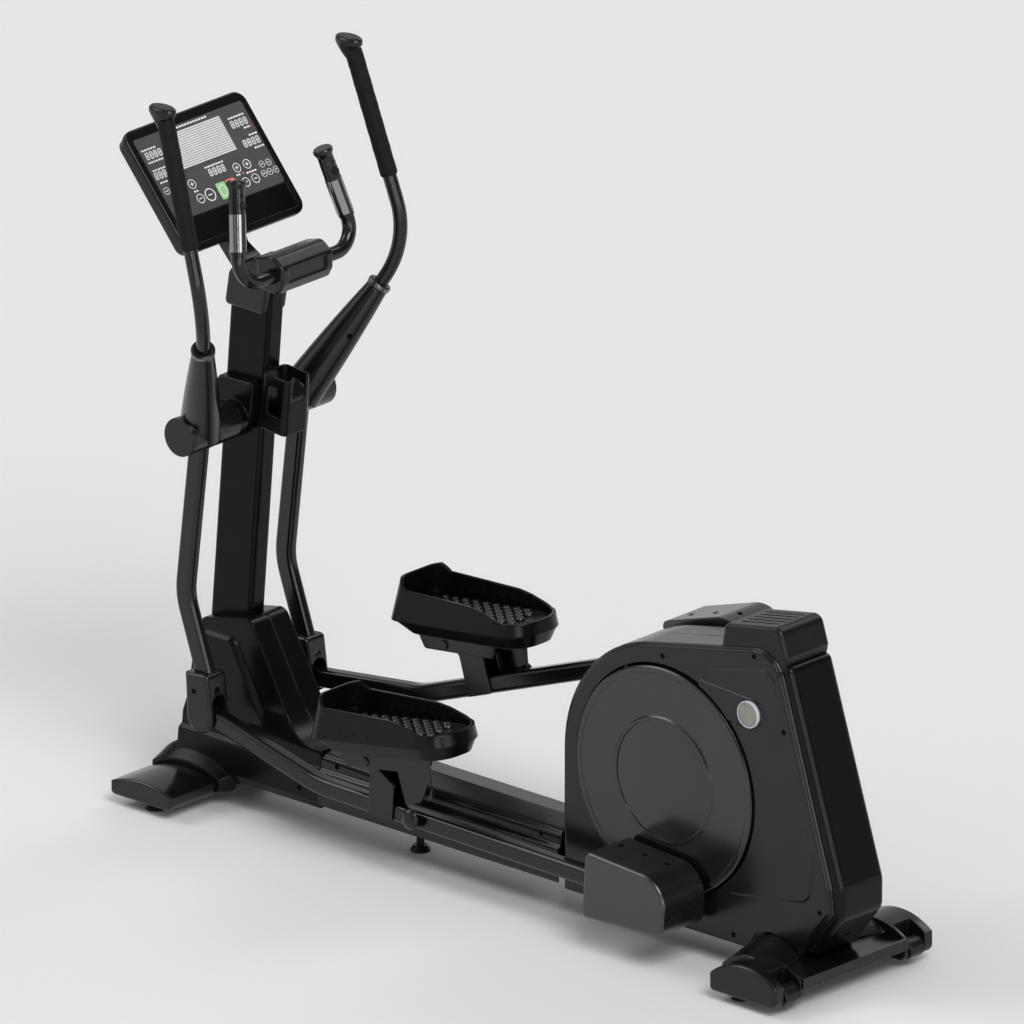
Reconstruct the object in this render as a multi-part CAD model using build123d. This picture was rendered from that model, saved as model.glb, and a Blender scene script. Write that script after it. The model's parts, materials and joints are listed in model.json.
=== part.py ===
from build123d import *
from math import atan2, cos, degrees, hypot, radians, sin, sqrt
import os

os.makedirs("parts", exist_ok=True)

# Frame: X runs from the console end to the drive end, Z is up, -Y is the rider's left
running_gap = 0.5
pivot_x, pivot_z = -815.0, 912.0
joint_x, joint_z = -792.0, 243.0
crank_x, crank_z = 519.0, 398.0
crank_radius = 245.0
arm_plane = 163.0

# Both links have one length and straddle the line from arm joint to crank axis
reach = hypot(crank_x - joint_x, crank_z - joint_z)
link_length = hypot(reach, crank_radius)
reach_tilt = degrees(atan2(crank_z - joint_z, crank_x - joint_x))
half_tilt = degrees(atan2(crank_radius, reach))
link_tilt = {-1: reach_tilt - half_tilt, 1: reach_tilt + half_tilt}
pedal_tilt = {-1: 9.4, 1: 6.8}

# Base: steel beam, stabilizers, feet
beam_half_width, beam_bottom, beam_top = 40.0, 76.0, 160.0
beam_front, beam_rear = -940.0, 922.0
tube_wall = 3.0
stabilizer_half_span = 254.0
front_stabilizer_x, front_stabilizer_depth = -913.0, 184.0
rear_cap_front, rear_cap_rear = 812.0, 1013.0
rear_cap_inner, rear_cap_outer = 167.0, 260.0
rear_cap_crown, skirt_reach = 103.0, 84.0
foot_radius, foot_height, foot_stem_radius = 23.0, 14.0, 9.0
centre_foot_x = -300.0
wheel_radius, wheel_width, wheel_axle_radius = 24.0, 46.0, 5.0
wheel_x, wheel_z, wheel_y = 994.0, 44.0, 204.0

# Mast
mast_depth, mast_width, mast_corner = 120.0, 50.0, 10.0
mast_lean = 4.55
mast_top = 1240.0

# Swing arms
axle_radius = 12.0
hub_radius, hub_outer, hub_inner = 45.0, 229.0, 73.0
hub_cap_thickness = 6.0
handle_radius, foam_radius = 16.0, 19.5
handle_bend = (-645.0, 336.0, 1260.0)
handle_top = (-796.0, 305.0, 1716.0)
foam_bottom = 1412.0
arm_depth, arm_width = 48.0, 28.0
link_width, link_depth = 38.0, 42.0
joint_cover_width, joint_cover_radius = 64.0, 38.0
joint_pin_radius = 8.0

# Pedal: pivot, stand leg and knob places along and above the link line
pedal_pivot_s, pedal_pivot_n = 487.0, 106.0
stand_leg_s, stand_leg_width = 511.0, 72.0
knob_s, knob_n = 647.0, -35.0
pivot_drop = 52.0
pedal_pin_radius, knob_shank_radius, knob_radius = 6.0, 5.0, 24.0
pedal_front, pedal_rear, pedal_half_width = -125.0, 290.0, 88.0
tread_floor = 74.0

# Drive housing
housing_half_width, housing_wall = 82.0, 4.0
housing_round = 315.0
disc_radius, disc_opening = 265.0, 270.0
disc_face, pin_end = 92.0, 102.2
crank_pin_radius = 14.0
cover_inner, cover_outer = 103.0, 238.0
pulley_radius, small_pulley_radius, belt_thickness = 180.0, 28.0, 4.0
flywheel_x, flywheel_z, flywheel_radius = 800.0, 335.0, 140.0
stay_inner, stay_outer = 46.0, 51.0

# Console face
console_x, console_z = -923.0, 1452.0
console_width, console_height = 392.0, 311.0
console_normal = (0.759, 0.0, 0.651)
bezel_thickness, back_thickness = 14.0, 24.0


# Building blocks
def outline(*corners):
    """Closed outline from (x, z, corner radius) points."""
    face = make_face(Polyline(*[(x, z) for x, z, radius in corners], close=True))
    for x, z, radius in corners:
        if radius:
            face = fillet(face.vertices().sort_by_distance((x, z))[0], radius)
    return face


def side_slab(face, y_low, y_high):
    """Prism of an XZ outline between two Y planes."""
    return Pos(0, y_high, 0) * extrude(Plane.XZ * face, amount=y_high - y_low)


def cross_rod(x, z, radius, y_low, y_high):
    """Round bar along Y."""
    return side_slab(Pos(x, z) * Circle(radius), y_low, y_high)


def swept_bar(points, bend, section, x_dir=None):
    """Bar of one section along a bent path."""
    path = FilletPolyline(*points, radius=bend)
    start = Plane(origin=path @ 0, z_dir=path % 0)
    if x_dir:
        start = Plane(origin=path @ 0, x_dir=x_dir, z_dir=path % 0)
    return sweep(start * section, path=path)


def along(start, direction):
    """Location whose Z axis points in a direction."""
    return Plane(origin=start, z_dir=direction).location


def box(x_low, x_high, y_low, y_high, z_low, z_high):
    """Box between limits."""
    return Pos((x_low + x_high) / 2, (y_low + y_high) / 2, (z_low + z_high) / 2) * Box(
        x_high - x_low, y_high - y_low, z_high - z_low
    )


def both_sides(shape):
    """A left piece with its mirrored right twin."""
    return shape + mirror(shape, about=Plane.XZ)


def dome(radius, height):
    """Profile arc of a round dome, from its rim to its top on the axis."""
    sphere = (radius * radius + height * height) / (2 * height)
    middle = (radius / 2, height - sphere + sqrt(sphere * sphere - radius * radius / 4))
    return ThreePointArc((radius, 0), middle, (0, height))


def save(name, shape):
    """Write one node."""
    export_step(shape, f"parts/{name}.step")


def link_place(side):
    """Location of the link line on one side: origin on the arm joint, X along the link."""
    return Pos(joint_x, side * arm_plane, joint_z) * Rot(0, -link_tilt[side], 0)


def pedal_place(side):
    """Location of the pedal on one side: origin under its pivot, X along the tread."""
    pivot = link_place(side) * Pos(pedal_pivot_s, 0, pedal_pivot_n)
    return Pos(*pivot.position) * Rot(0, -pedal_tilt[side], 0) * Pos(0, 0, -pivot_drop)


# Mast frame
mast_foot_x = pivot_x + (beam_top - pivot_z) * sin(radians(mast_lean)) / cos(radians(mast_lean))
mast_axis = (sin(radians(mast_lean)), 0, cos(radians(mast_lean)))
mast_plane = Plane(
    origin=(mast_foot_x, 0, beam_top), x_dir=(mast_axis[2], 0, -mast_axis[0]), z_dir=mast_axis,
)
mast_length = (mast_top - beam_top) / mast_axis[2]


def mast_bar(margin):
    """Mast envelope grown by a margin."""
    grown = RectangleRounded(mast_depth + 2 * margin, mast_width + 2 * margin, mast_corner + margin)
    return extrude(mast_plane.offset(-60) * grown, amount=mast_length + 60)


# Steel base frame: beam, rear cross tube and the posts that carry crank and flywheel
def base_frame():
    beam_height = beam_top - beam_bottom
    ring = RectangleRounded(2 * beam_half_width, beam_height, 9)
    ring -= RectangleRounded(2 * (beam_half_width - tube_wall), beam_height - 2 * tube_wall, 6)
    beam_plane = Plane(
        origin=(beam_front, 0, (beam_bottom + beam_top) / 2), x_dir=(0, 1, 0), z_dir=(1, 0, 0),
    )
    frame = extrude(beam_plane * ring, amount=beam_rear - beam_front)
    cross_bottom = beam_bottom - 25
    frame += box(895, 1018, -rear_cap_inner - 5, rear_cap_inner + 5, cross_bottom, beam_bottom)
    frame += box(855, 950, -235, 235, cross_bottom, beam_bottom - 8)
    for side in (-1, 1):
        near, far = sorted((side * 22, side * 34))
        post = outline((crank_x - 80, beam_top, 0), (crank_x + 80, beam_top, 0),
                       (crank_x + 30, crank_z + 32, 28), (crank_x - 30, crank_z + 32, 28))
        frame += side_slab(post, near, far)
        near, far = sorted((side * stay_inner, side * stay_outer))
        stay = outline((flywheel_x - 55, beam_top - 30, 0), (flywheel_x + 55, beam_top - 30, 0),
                       (flywheel_x + 22, flywheel_z + 24, 18), (flywheel_x - 22, flywheel_z + 24, 18))
        frame += side_slab(stay, near, far)
        near, far = sorted((side * (beam_half_width - tube_wall), side * stay_outer))
        frame += box(flywheel_x - 55, flywheel_x + 55, near, far, beam_top - 30, beam_top - 22)
    frame -= cross_rod(crank_x, crank_z, 15 + running_gap, -50, 50)
    frame -= cross_rod(flywheel_x, flywheel_z, 8 + running_gap, -70, 70)
    return frame


def arch(x_low, x_high, z_low, z_side, z_crown, z_rear):
    """Arched stabilizer section with rounded lower corners."""
    middle = (x_low + x_high) / 2
    lines = Polyline((x_high, z_rear), (x_high, z_low), (x_low, z_low), (x_low, z_side))
    face = make_face(lines + ThreePointArc((x_low, z_side), (middle, z_crown), (x_high, z_rear)))
    face = fillet(face.vertices().sort_by_distance((x_low, z_low))[0], 12)
    return fillet(face.vertices().sort_by_distance((x_high, z_low))[0], 20)


def front_stabilizer():
    half = front_stabilizer_depth / 2
    section = arch(front_stabilizer_x - half, front_stabilizer_x + half, 25, 56, beam_bottom - 0.4, 58)
    bar = side_slab(section, -stabilizer_half_span, stabilizer_half_span)
    ends = bar.faces().sort_by(Axis.Y)
    bar = fillet(ends[0].edges() + ends[-1].edges(), 7)
    inside = stabilizer_half_span - 8
    bar -= side_slab(offset(section, -tube_wall), -inside, inside)
    return bar - box(front_stabilizer_x - 60, front_stabilizer_x + 60, -160, 160, 0, 40)


def rear_end_cap():
    section = arch(rear_cap_front, rear_cap_rear, 22, 64, rear_cap_crown, 72)
    cap = side_slab(section, -rear_cap_outer, -rear_cap_inner)
    cap = fillet(cap.faces().sort_by(Axis.Y)[0].edges(), 8)
    outer = Pos(0, -200, 0) * (Plane.XZ * arch(798, 960, 22, 66, rear_cap_crown, 76))
    inner = Pos(0, -skirt_reach, 0) * (Plane.XZ * arch(770, 925, 22, 70, rear_cap_crown + 9, 80))
    cap += loft([outer, inner])
    cap -= box(855, 950, -235, 0, beam_bottom - 25, beam_bottom - 8)
    cap -= box(895, 1018, -rear_cap_inner - 5, 0, beam_bottom - 25, beam_bottom)
    pocket_half = wheel_width / 2 + 4
    cap -= box(wheel_x - 30, 1030, -wheel_y - pocket_half, -wheel_y + pocket_half, 0, 120)
    cap += cross_rod(
        wheel_x, wheel_z, wheel_axle_radius, -wheel_y - pocket_half - 4, -wheel_y + pocket_half + 4,
    )
    return cap


def transport_wheel():
    profile = Polyline(
        (wheel_axle_radius + running_gap, -wheel_width / 2), (wheel_radius - 3, -wheel_width / 2),
        (wheel_radius, -wheel_width / 2 + 3), (wheel_radius, wheel_width / 2 - 3),
        (wheel_radius - 3, wheel_width / 2), (wheel_axle_radius + running_gap, wheel_width / 2),
        close=True,
    )
    roller = revolve(Plane.XY * make_face(profile), Axis.Y)
    return Pos(wheel_x, -wheel_y, wheel_z) * roller


def levelling_foot(x, y, top):
    profile = Polyline((0, 0), (foot_radius, 0), (foot_radius, 4), (foot_radius - 7, foot_height),
                       (foot_stem_radius, foot_height), (foot_stem_radius, top), (0, top), close=True)
    return Pos(x, y, 0) * revolve(Plane.XZ * make_face(profile), Axis.Z)


def mast():
    bore = RectangleRounded(
        mast_depth - 2 * tube_wall, mast_width - 2 * tube_wall, mast_corner - tube_wall,
    )
    tube = mast_bar(0) - extrude(mast_plane.offset(-80) * bore, amount=mast_length + 100)
    tube -= box(-1200, -600, -60, 60, 0, beam_top)
    return tube - cross_rod(pivot_x, pivot_z, axle_radius, -60, 60)


# Moulded covers of the base
cover_seam_x, housing_seam_x, cover_wall = -530.0, 196.0, 4.0
panel_reach, skirt_in, skirt_out = 71.0, 74.0, 106.0


def cover_profile(upper):
    """Cross-section of the beam covers, to the crown or up the mast."""
    if upper:
        right = [
            (78, 62, 0), (88, 80, 10), (88, 152, 8), (77, 160, 5), (77, 190, 20), (60, 240, 60),
            (57, 470, 0),
        ]
    else:
        right = [(78, 62, 0), (88, 80, 10), (88, 152, 8), (77, 160, 5), (77, 190, 18), (0, 199, 0)]
    left = [(-y, z, radius) for y, z, radius in reversed(right) if y]
    return outline(*right, *left)


def along_beam(face, x_low, x_high):
    """Prism of a YZ section along the beam."""
    plane = Plane(origin=(x_low, 0, 0), x_dir=(0, 1, 0), z_dir=(1, 0, 0))
    return extrude(plane * face, amount=x_high - x_low)


def base_cover():
    side = outline(
        (-906, 416, 14), (-761, 446, 26), (-618, 195, 110), (cover_seam_x, 198, 0),
        (cover_seam_x, 62, 0), (-960, 62, 12), (-938, 300, 40),
    )
    cover = side_slab(side, -100, 100) & along_beam(cover_profile(True), -1000, cover_seam_x)
    panel = outline((-900, 392, 10), (-806, 392, 30), (-694, 190, 0), (-900, 190, 0))
    pad = side_slab(panel, -panel_reach, panel_reach)
    rims = pad.faces().sort_by(Axis.Y)
    cover += chamfer(rims[0].edges() + rims[-1].edges(), 9) & side_slab(side, -100, 100)
    half = front_stabilizer_depth / 2
    low = arch(front_stabilizer_x - half - 9, front_stabilizer_x + half + 9, 30, 62, beam_bottom + 9, 64)
    high = arch(
        front_stabilizer_x - half - 9, front_stabilizer_x + half + 30, 30, 76, beam_bottom + 52, 74,
    )
    for side_sign in (-1, 1):
        foot = Pos(0, side_sign * skirt_out, 0) * (Plane.XZ * low)
        root = Pos(0, side_sign * skirt_in, 0) * (Plane.XZ * high)
        cover += loft([foot, root])
    tunnel = arch(front_stabilizer_x - half, front_stabilizer_x + half, 25, 56, beam_bottom - 0.4, 58)
    cover -= side_slab(tunnel, -skirt_out - 1, skirt_out + 1)
    cover -= box(-1100, -800, -skirt_out - 1, skirt_out + 1, 0, 30)
    cover -= side_slab(offset(side, -cover_wall), -50, 50) & box(-1200, 0, -50, 50, beam_top, 408)
    tail = box(front_stabilizer_x + 100, 0, -72, 72, 66, 186)
    cover -= side_slab(offset(side, -cover_wall), -72, 72) & tail
    cover -= box(beam_front, 0, -beam_half_width, beam_half_width, 0, beam_top)
    cover += box(
        -590, -560, -72, -beam_half_width, 100, 112,
    ) + box(-590, -560, beam_half_width, 72, 100, 112)
    return cover - mast_bar(0.2)


def beam_cover():
    skin = along_beam(cover_profile(False), cover_seam_x + 0.6, housing_seam_x - 0.6)
    skin -= box(-700, 300, -83, 83, 0, 148)
    skin -= box(-700, 300, -72, 72, 0, 186)
    for x in (cover_seam_x + 40, housing_seam_x - 60):
        for side in (-1, 1):
            near, far = sorted((side * beam_half_width, side * 84))
            skin += box(x, x + 20, near, far, 100, 112)
    return skin


# Mast fittings
def pivot_cover():
    plate = outline(
        (-884, 862, 10), (-884, 972, 0), (-864, 998, 0), (-762, 1002, 8), (-768, 930, 60),
        (-812, 858, 30),
    )
    cover = side_slab(plate, -50, -mast_width / 2)
    cover = fillet(cover.faces().sort_by(Axis.Y)[0].edges(), 4)
    cover += cross_rod(pivot_x, pivot_z, 40, -hub_inner + running_gap, -48)
    return cover - cross_rod(pivot_x, pivot_z, axle_radius, -100, 0)


def bottle_holder():
    width, depth, height, wall = 78.0, 80.0, 132.0, 3.5
    shell = extrude(RectangleRounded(depth, width, 12), amount=height)
    shell -= Pos(
        0, 0, wall,
    ) * extrude(RectangleRounded(depth - 2 * wall, width - 2 * wall, 9), amount=height)
    window = RectangleRounded(40, 70, 8)
    side_plane = Plane(origin=(4, 60, 74), x_dir=(1, 0, 0), z_dir=(0, -1, 0))
    shell -= extrude(side_plane * window, amount=120)
    notch = Plane(origin=(14, 0, 108), x_dir=(0, 1, 0), z_dir=(1, 0, 0)) * RectangleRounded(44, 60, 10)
    shell -= extrude(notch, amount=60)
    shell -= Pos(0, 0, -1) * extrude(Circle(14), amount=10)
    seat = mast_plane.offset((905 - beam_top) / mast_axis[2]).location
    return seat * Pos(mast_depth / 2 + depth / 2, 0, 0) * shell


def mast_top_cover():
    side = outline(
        (-862, 1165, 12), (-742, 1165, 10), (-721, 1292, 0), (-778, 1292, 18), (-848, 1252, 34),
    )
    cover = side_slab(side, -37, 37)
    rims = cover.faces().sort_by(Axis.Y)
    cover = fillet(rims[0].edges() + rims[-1].edges(), 7)
    return cover - mast_bar(0)


# Fixed handlebar
grip_top = Vector(-728, -140, 1519)
grip_foot = Vector(-671, -194, 1290)
grip_axis = (grip_foot - grip_top).normalized()
grip_length, plate_start, plate_end = 168.0, 76.0, 160.0
grip_radius, plate_radius = 18.5, 19.6
button_radius, button_place, button_travel = 8.0, 57.0, 1.5
press_axis = (Vector(1, 0, 0) - grip_axis * grip_axis.dot(Vector(1, 0, 0))).normalized()


def handlebar_tube():
    right_top = (grip_top.X, -grip_top.Y, grip_top.Z)
    right_foot = (grip_foot.X, -grip_foot.Y, grip_foot.Z)
    points = (tuple(grip_top + grip_axis * 10), tuple(grip_foot), right_foot,
              tuple(Vector(*right_top) + Vector(grip_axis.X, -grip_axis.Y, grip_axis.Z) * 10))
    return swept_bar(points, 55, Circle(handle_radius) - Circle(handle_radius - 2.5))


def handlebar_grip():
    profile = Polyline(
        (0, 0), (20, 0), (23, 4), (23, 9), (18, 20), (18, 34), (grip_radius, 35),
        (grip_radius, grip_length), (handle_radius, grip_length), (handle_radius, 10), (0, 10),
        close=True,
    )
    sleeve = along(grip_top, grip_axis) * revolve(Plane.XZ * make_face(profile), Axis.Z)
    seat = grip_top + grip_axis * button_place + press_axis * (handle_radius + 0.3)
    return sleeve - along(seat, press_axis) * extrude(Circle(button_radius + running_gap), amount=12)


def pulse_plate_pair():
    length = plate_end - plate_start
    ring = extrude(Circle(plate_radius) - Circle(grip_radius), amount=length)
    ring -= Box(9, 60, 300) + Rot(0, 0, 60) * Pos(0, 20, 0) * Box(3, 40, 300)
    turned = Plane(
        origin=grip_top + grip_axis * plate_start, x_dir=grip_axis.cross(press_axis),
        z_dir=grip_axis,
    )
    return turned.location * ring


def button():
    seat = grip_top + grip_axis * button_place + press_axis * (handle_radius + 0.3 + button_travel)
    return along(seat, press_axis) * extrude(Circle(button_radius), amount=3.2)


def handlebar_cover():
    side = outline(
        (-721, 1250, 12), (-655, 1246, 22), (-640, 1275, 16), (-640, 1312, 18), (-672, 1336, 24),
        (-721, 1322, 10),
    )
    cover = side_slab(side, -84, 84)
    ends = cover.faces().sort_by(Axis.Y)
    cover = fillet(ends[0].edges() + ends[-1].edges(), 7)
    window = Plane(origin=(-646, 0, 1293), x_dir=(0, 1, 0), z_dir=(1, 0, 0))
    cover -= extrude(window * RectangleRounded(128, 34, 4), amount=20)
    return cover - cross_rod(grip_foot.X, grip_foot.Z, handle_radius, -100, 100)


# Console
face_plane = Plane(origin=(console_x, 0, console_z), x_dir=(0, 1, 0), z_dir=console_normal)
membrane_width, membrane_height, membrane_rise = 354.0, 208.0, 27.0


def console_back():
    plate = RectangleRounded(console_width - 4, console_height - 4, 28)
    shell = extrude(plate, amount=-back_thickness, taper=14)
    shell -= extrude(
        RectangleRounded(console_width - 24, console_height - 24, 20), amount=3 - back_thickness,
    )
    return face_plane.offset(-bezel_thickness).location * shell


def console_bezel():
    frame = extrude(RectangleRounded(console_width, console_height, 30), amount=-bezel_thickness)
    frame = fillet(frame.faces().sort_by(Axis.Z)[-1].edges(), 5)
    frame -= Pos(
        0, membrane_rise,
    ) * extrude(RectangleRounded(membrane_width, membrane_height, 8), amount=-3)
    ledge_low = -console_height / 2 + 16
    ledge_high = membrane_rise - membrane_height / 2 - 3
    ledge = Polyline((ledge_low, 1), (ledge_low, -7), (ledge_high, -1.5), (ledge_high, 1), close=True)
    frame -= Pos(-membrane_width / 2, 0, 0) * extrude(Plane.YZ * make_face(ledge), amount=membrane_width)
    return face_plane.location * frame


def console_membrane():
    panel = RectangleRounded(membrane_width - 0.6, membrane_height - 0.6, 7.7)
    return face_plane.offset(-3).location * Pos(0, membrane_rise) * extrude(panel, amount=2.4)


def console_neck():
    back = bezel_thickness + back_thickness
    foot = face_plane.location * Pos(0, -console_height / 2 + 16, -back)
    head = face_plane.location * Pos(0, -console_height / 2 + 106, -back)
    side = outline((-845, 1258, 0), (-805, 1272, 0), (foot.position.X + 12, foot.position.Z - 24, 0),
                   (foot.position.X, foot.position.Z, 0),
                   (head.position.X, head.position.Z, 0), (head.position.X - 8, head.position.Z - 46, 12))
    return side_slab(side, -30, 30) - mast_top_cover()


# Drive housing
rear_top, rear_mid, rear_low, rear_foot = (848.0, 790.0), (1014.0, 259.0), (1020.0, 200.0), (926.0, 84.0)
panel_depth, panel_half_width = 20.0, 72.0
lens_x, lens_z, lens_radius = 778.0, 621.0, 30.6
field_rise, pod_rise = 2.5, 5.5


def housing_face(inset):
    """Side outline of the drive housing, drawn in by an inset."""
    tangent = (crank_x - housing_round * sin(radians(12.6)), crank_z + housing_round * cos(radians(12.6)))
    body = outline(
        (crank_x - housing_round, 62, 0), (crank_x - housing_round, crank_z, 0), tangent + (0,),
        rear_top + (80,), rear_mid + (0,), rear_low + (0,), rear_foot + (0,), (914, 62, 0),
    )
    face = body + Pos(crank_x, crank_z) * Circle(housing_round)
    face -= Pos(
        0, 62,
    ) * make_face(Polyline((764, 0), (790, 38), (830, 52), (880, 48), (912, 0), close=True))
    if inset:
        return offset(face, -inset, kind=Kind.INTERSECTION)
    return face


def housing_half():
    shell = side_slab(housing_face(0), -housing_half_width, 0)
    rim = shell.faces().sort_by(Axis.Y)[0].edges()
    shell = fillet(rim.filter_by(lambda edge: edge.center().Z > 120), 14)
    outer = -housing_half_width
    field = outline(
        (636, 691, 8), (842, 740, 40), (968, 330, 30), (955, 215, 40), (700, 175, 30),
        (620, 330, 0),
    )
    raised = side_slab(field, outer - field_rise, outer + housing_wall)
    shell += chamfer(raised.faces().sort_by(Axis.Y)[0].edges(), field_rise - 0.4)
    tab = make_face(Polyline((620, 588), (lens_x, 586), (lens_x, 656), (620, 664), close=True))
    tab += Pos(lens_x, lens_z) * Circle(lens_radius + 6)
    pod = side_slab(tab, outer - pod_rise, outer + housing_wall)
    shell += chamfer(pod.faces().sort_by(Axis.Y)[0].edges(), 2.6)
    shell -= side_slab(housing_face(housing_wall), outer + housing_wall, 1)
    shell -= cross_rod(crank_x, crank_z, disc_opening, -100, 0)
    shell -= cross_rod(lens_x, lens_z, lens_radius + 0.3, -100, outer - pod_rise + 6)
    shell -= box(150, 1100, -beam_half_width, 1, 0, beam_top)
    shell -= box(850, 1100, -100, 1, 0, beam_bottom)
    return shell


def housing_rear_panel():
    rise = (748 - rear_mid[1]) / (rear_top[1] - rear_mid[1])
    seam_top = rear_mid[0] + rise * (rear_top[0] - rear_mid[0])
    panel = outline(
        (seam_top, 748, 0), (seam_top + panel_depth, 755, 17), (rear_mid[0] + 27, 258, 60),
        (rear_low[0] + 20, 192, 34), (958, 84, 18), rear_foot + (0,), rear_low + (0,),
        rear_mid + (0,),
    )
    shell = side_slab(panel, -panel_half_width, panel_half_width)
    rims = shell.faces().sort_by(Axis.Y)
    edges = rims[0].edges() + rims[-1].edges()
    return fillet(
        edges.filter_by(lambda edge: edge.center().X > 1016 + (edge.center().Z - 259) * -0.31), 16,
    )


def step_pad():
    side = outline((672, 740, 0), (684, 806, 14), (852, 838, 24), (874, 770, 8), (866, 730, 0))
    pad = side_slab(side, -72, 72)
    rims = pad.faces().sort_by(Axis.Y)
    pad = fillet(rims[0].edges() + rims[-1].edges(), 11)
    slope = Plane(origin=(768, 0, 821), x_dir=(0.984, 0, 0.178), z_dir=(-0.178, 0, 0.984))
    grooves = Sketch() + [Pos(0, row * 20) * RectangleRounded(118, 6, 2.9) for row in range(-2, 3)]
    pad -= extrude(slope.offset(-3) * grooves, amount=20)
    pad -= side_slab(housing_face(0), -100, 100)
    return pad - housing_rear_panel()


# Drive train
def crank_shaft():
    shaft = cross_rod(crank_x, crank_z, 15, -60, 60)
    for side in (-1, 1):
        pin = link_place(side) * Pos(link_length, 0, 0)
        pin_x, pin_z = pin.position.X, pin.position.Z
        near, far = sorted((side * 52, side * 66))
        turn = degrees(atan2(pin_z - crank_z, pin_x - crank_x))
        middle = Pos((crank_x + pin_x) / 2, (crank_z + pin_z) / 2) * Rot(0, 0, turn)
        shaft += side_slab(middle * SlotCenterToCenter(crank_radius, 44), near, far)
        near, far = sorted((side * 60, side * pin_end))
        shaft += cross_rod(pin_x, pin_z, crank_pin_radius, near, far)
    return shaft


def wheel_rim(x, z, radius, y_low, y_high, bore):
    """Pulley or wheel with a rim, a web with six windows and a hub."""
    disc = Circle(radius) - Circle(bore)
    for step in range(6):
        disc -= Rot(0, 0, 60 * step) * Pos(radius * 0.56, 0) * Circle(radius * 0.2)
    return side_slab(Pos(x, z) * disc, y_low, y_high)


def drive_belt():
    gap = hypot(flywheel_x - crank_x, flywheel_z - crank_z)
    turn = degrees(atan2(flywheel_z - crank_z, flywheel_x - crank_x))

    def loop(grow):
        large, small = pulley_radius + grow, small_pulley_radius + grow
        lean = (large - small) / gap
        rise = sqrt(1 - lean * lean)
        hull = make_face(
            Polyline(
                (large * lean, large * rise), (gap + small * lean, small * rise),
                (gap + small * lean, -small * rise), (large * lean, -large * rise), close=True,
            )
        )
        return hull + Circle(large) + Pos(gap, 0) * Circle(small)

    ring = loop(running_gap + belt_thickness) - loop(running_gap)
    return side_slab(Pos(crank_x, crank_z) * Rot(0, 0, turn) * ring, -9, 9)


def flywheel():
    wheel = wheel_rim(flywheel_x, flywheel_z, flywheel_radius, 18, 44, 7)
    wheel += cross_rod(flywheel_x, flywheel_z, small_pulley_radius, -11, 18)
    return wheel + cross_rod(flywheel_x, flywheel_z, 8, -stay_outer, stay_outer)


def crank_disc():
    profile = Polyline(
        (0, -66), (60, -66), (60, -disc_face + 10), (226, -disc_face + 10), (226, -66),
        (disc_radius, -66), (disc_radius, -disc_face + 3), (disc_radius - 4, -disc_face),
        (disc_radius - 14, -disc_face), (disc_radius - 18, -disc_face + 2.5),
        (150, -disc_face + 2.5), (146, -disc_face - 1), (140, -disc_face - 1),
        (140, -disc_face + 4), (0, -disc_face + 4), close=True,
    )
    disc = Pos(crank_x, 0, crank_z) * revolve(Plane.XY * make_face(profile), Axis.Y)
    pin = link_place(-1) * Pos(link_length, 0, 0)
    return disc - cross_rod(pin.position.X, pin.position.Z, crank_pin_radius, -120, 0)


def disc_cap():
    rim, edge, crown, flat = 139.5, 3.0, 4.5, 30.0
    bow = ThreePointArc((rim, 0), (rim * 0.62, crown * 0.8), (flat, crown))
    profile = Polyline((flat, crown), (0, crown), (0, -edge), (rim, -edge), (rim, 0)) + bow
    cap = revolve(Plane.XZ * make_face(profile), Axis.Z)
    return Pos(crank_x, -disc_face + 4 - edge, crank_z) * Rot(90, 0, 0) * cap


# Swing arm, drawn on the left
pivot_point = (pivot_x, -arm_plane, pivot_z)
handle_bend_left = (handle_bend[0], -handle_bend[1], handle_bend[2])
handle_top_left = (handle_top[0], -handle_top[1], handle_top[2])
rise_axis = (Vector(*handle_bend_left) - Vector(*pivot_point)).normalized()
grip_line = (Vector(*handle_top_left) - Vector(*handle_bend_left)).normalized()
shroud_length, cap_length = 305.0, 46.0


def handle_tube():
    start = Vector(*pivot_point) + rise_axis * 60
    section = Circle(handle_radius) - Circle(handle_radius - 2.5)
    return swept_bar((tuple(start), handle_bend_left, handle_top_left), 210, section)


def foam_grip():
    start = Vector(*handle_bend_left) + grip_line * ((foam_bottom - handle_bend[2]) / grip_line.Z)
    length = (handle_top[2] - foam_bottom) / grip_line.Z - cap_length - 0.3
    profile = Polyline(
        (handle_radius, 0), (foam_radius - 1.5, 0), (foam_radius, 5), (foam_radius, length - 3),
        (foam_radius - 1, length), (handle_radius, length), close=True,
    )
    return along(start, grip_line) * revolve(Plane.XZ * make_face(profile), Axis.Z)


def arm_bar(section):
    """Bent bar of the lower arm, from the hub to the link joint."""
    points = ((pivot_x - 2, -arm_plane, pivot_z - 20), (-861, -arm_plane, 512), (-783, -arm_plane, 292))
    return swept_bar(points, 150, section, x_dir=(0, 1, 0))


def lower_arm():
    section = RectangleRounded(arm_width, arm_depth, 11)
    arm = arm_bar(section - RectangleRounded(arm_width - 6, arm_depth - 6, 8))
    arm += cross_rod(pivot_x, pivot_z, 30, -hub_outer + 14, -hub_inner - 8)
    return arm - cross_rod(pivot_x, pivot_z, axle_radius + running_gap, -300, 0)


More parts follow.
